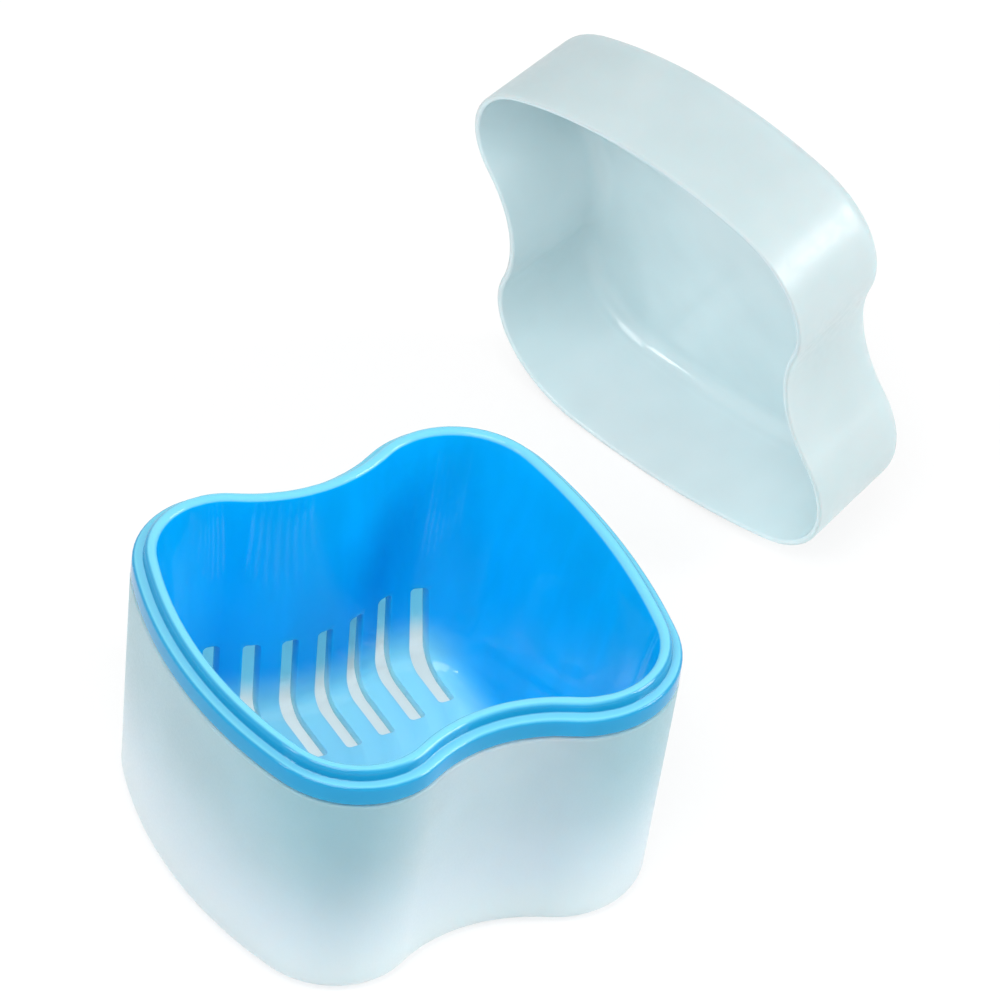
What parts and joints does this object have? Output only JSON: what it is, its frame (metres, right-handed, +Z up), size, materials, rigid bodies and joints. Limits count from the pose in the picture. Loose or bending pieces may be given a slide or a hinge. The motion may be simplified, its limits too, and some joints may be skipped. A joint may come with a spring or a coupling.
{
  "type": "denture case",
  "caption": "Waisted denture soaking case: a frosted outer cup, a blue slotted strainer basket hanging in it by a flange, and a matching cap-shaped lid standing beside it.",
  "frame": {"origin": "on the surface the case stands on, under the middle of the outer cup's plan outline", "axes": "+Z up; +Y from the front bow of the outline to its flatter back bow; +X across the two hollow waists, towards the waist nearest the camera in the picture"},
  "size_m": [0.1334, 0.1553, 0.085],
  "materials": {
    "frosted_cup": "frosted white polypropylene, satin outside",
    "blue_basket": "glossy opaque blue polypropylene",
    "pale_lid": "satin-gloss pale bluish white polypropylene"
  },
  "bodies": {
    "cup": {"cup": "frosted_cup"},
    "basket": {"strainer_basket": "blue_basket"},
    "lid": {"lid": "pale_lid"}
  },
  "joints": [
    {"name": "basket_lift", "type": "slide", "parent": "cup", "child": "basket", "axis": [0, 0, 1], "range_m": [0, 0.06]},
    {"name": "lid_lift", "type": "slide", "parent": "cup", "child": "lid", "axis": [0, 0, 1], "range_m": [0, 0.09]}
  ]
}
